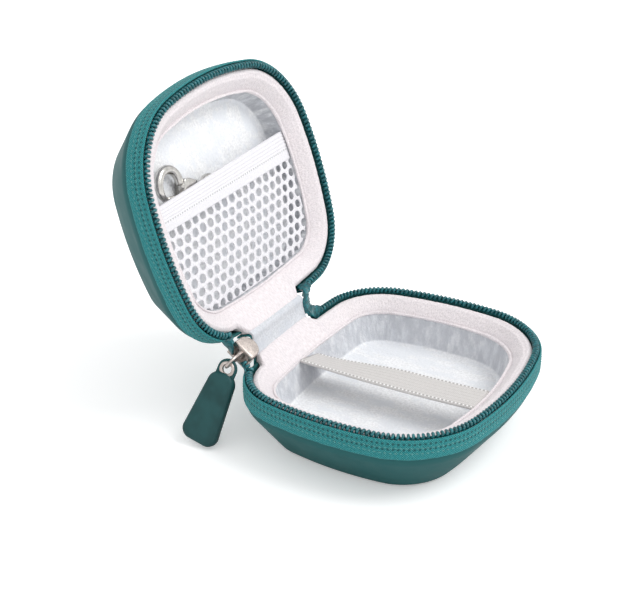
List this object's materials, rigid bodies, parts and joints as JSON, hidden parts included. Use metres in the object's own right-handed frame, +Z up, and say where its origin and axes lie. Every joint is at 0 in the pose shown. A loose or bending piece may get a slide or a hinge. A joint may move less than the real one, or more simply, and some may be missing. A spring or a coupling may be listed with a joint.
{
  "type": "earbud hard case",
  "caption": "Small zipped hard case with a padded rim, a divider strap in the base, a net pocket in the lid and a snap hook kept in the pocket.",
  "frame": {"origin": "centre of the base's underside, on the surface that the case stands on", "axes": "+X along the hinge, to the right of the open case seen from its front; +Y from the front back to the hinge; +Z up"},
  "size_m": [0.084, 0.1143, 0.0955],
  "materials": {
    "shell": "matte soft-touch skin",
    "foam": "moulded foam",
    "lining": "short plush",
    "roll": "plush over padding",
    "tape": "woven twill",
    "teeth": "nylon",
    "strap": "woven elastic",
    "net": "knitted mesh",
    "band": "ribbed elastic",
    "slider": "satin nickel plate",
    "link": "polished",
    "grip": "satin",
    "clip": "polished",
    "pin": "plain"
  },
  "bodies": {
    "base": {"base_outer_skin": "shell", "base_foam_core": "foam", "base_lining": "lining", "base_rim_roll": "roll", "base_zip_tape": "tape", "base_zip_teeth": "teeth", "divider_strap": "strap", "zip_tail": "tape", "hinge_gusset": "tape", "hinge_plush": "lining"},
    "lid": {"lid_outer_skin": "shell", "lid_foam_core": "foam", "lid_lining": "lining", "lid_rim_roll": "roll", "lid_zip_tape": "tape", "lid_zip_teeth": "teeth", "pocket_net": "net", "pocket_band": "band"},
    "slider": {"slider_body": "slider", "slider_bridge": "slider"},
    "pull": {"pull_link": "link", "pull_grip": "grip"},
    "clip": {"clip_frame": "clip", "clip_gate_pin": "pin"},
    "clip_gate": {"clip_gate": "clip"}
  },
  "joints": [
    {"name": "lid_hinge", "type": "hinge", "parent": "base", "child": "lid", "pos_m": [0, 0.0378, 0.0253], "axis": [1, 0, 0], "range_deg": [0, 109.3], "deforming": ["hinge_gusset", "hinge_plush"]},
    {"name": "slider_turn", "type": "hinge", "parent": "base", "child": "slider", "pos_m": [0, 0.0378, 0.0253], "axis": [1, 0, 0], "range_deg": [0, 54.65]},
    {"name": "pull_swing", "type": "hinge", "parent": "slider", "child": "pull", "pos_m": [-0.02905, 0.03783, 0.02313], "axis": [0, 0.9894, 0.1452], "range_deg": [-18, 58]},
    {"name": "clip_slide", "type": "slide", "parent": "lid", "child": "clip", "axis": [0.342, 0.3106, 0.8869], "range_m": [0, 0.008]},
    {"name": "clip_gate_turn", "type": "hinge", "parent": "clip", "child": "clip_gate", "pos_m": [-0.01597, 0.0601, 0.06386], "axis": [0, 0.9438, -0.3305], "range_deg": [0, 25], "stiffness_Nm_per_rad": 0.01, "springref_deg": -11.46}
  ],
  "couplings": [
    {"joint": "slider_turn", "follows": "lid_hinge", "ratio": 0.5}
  ]
}
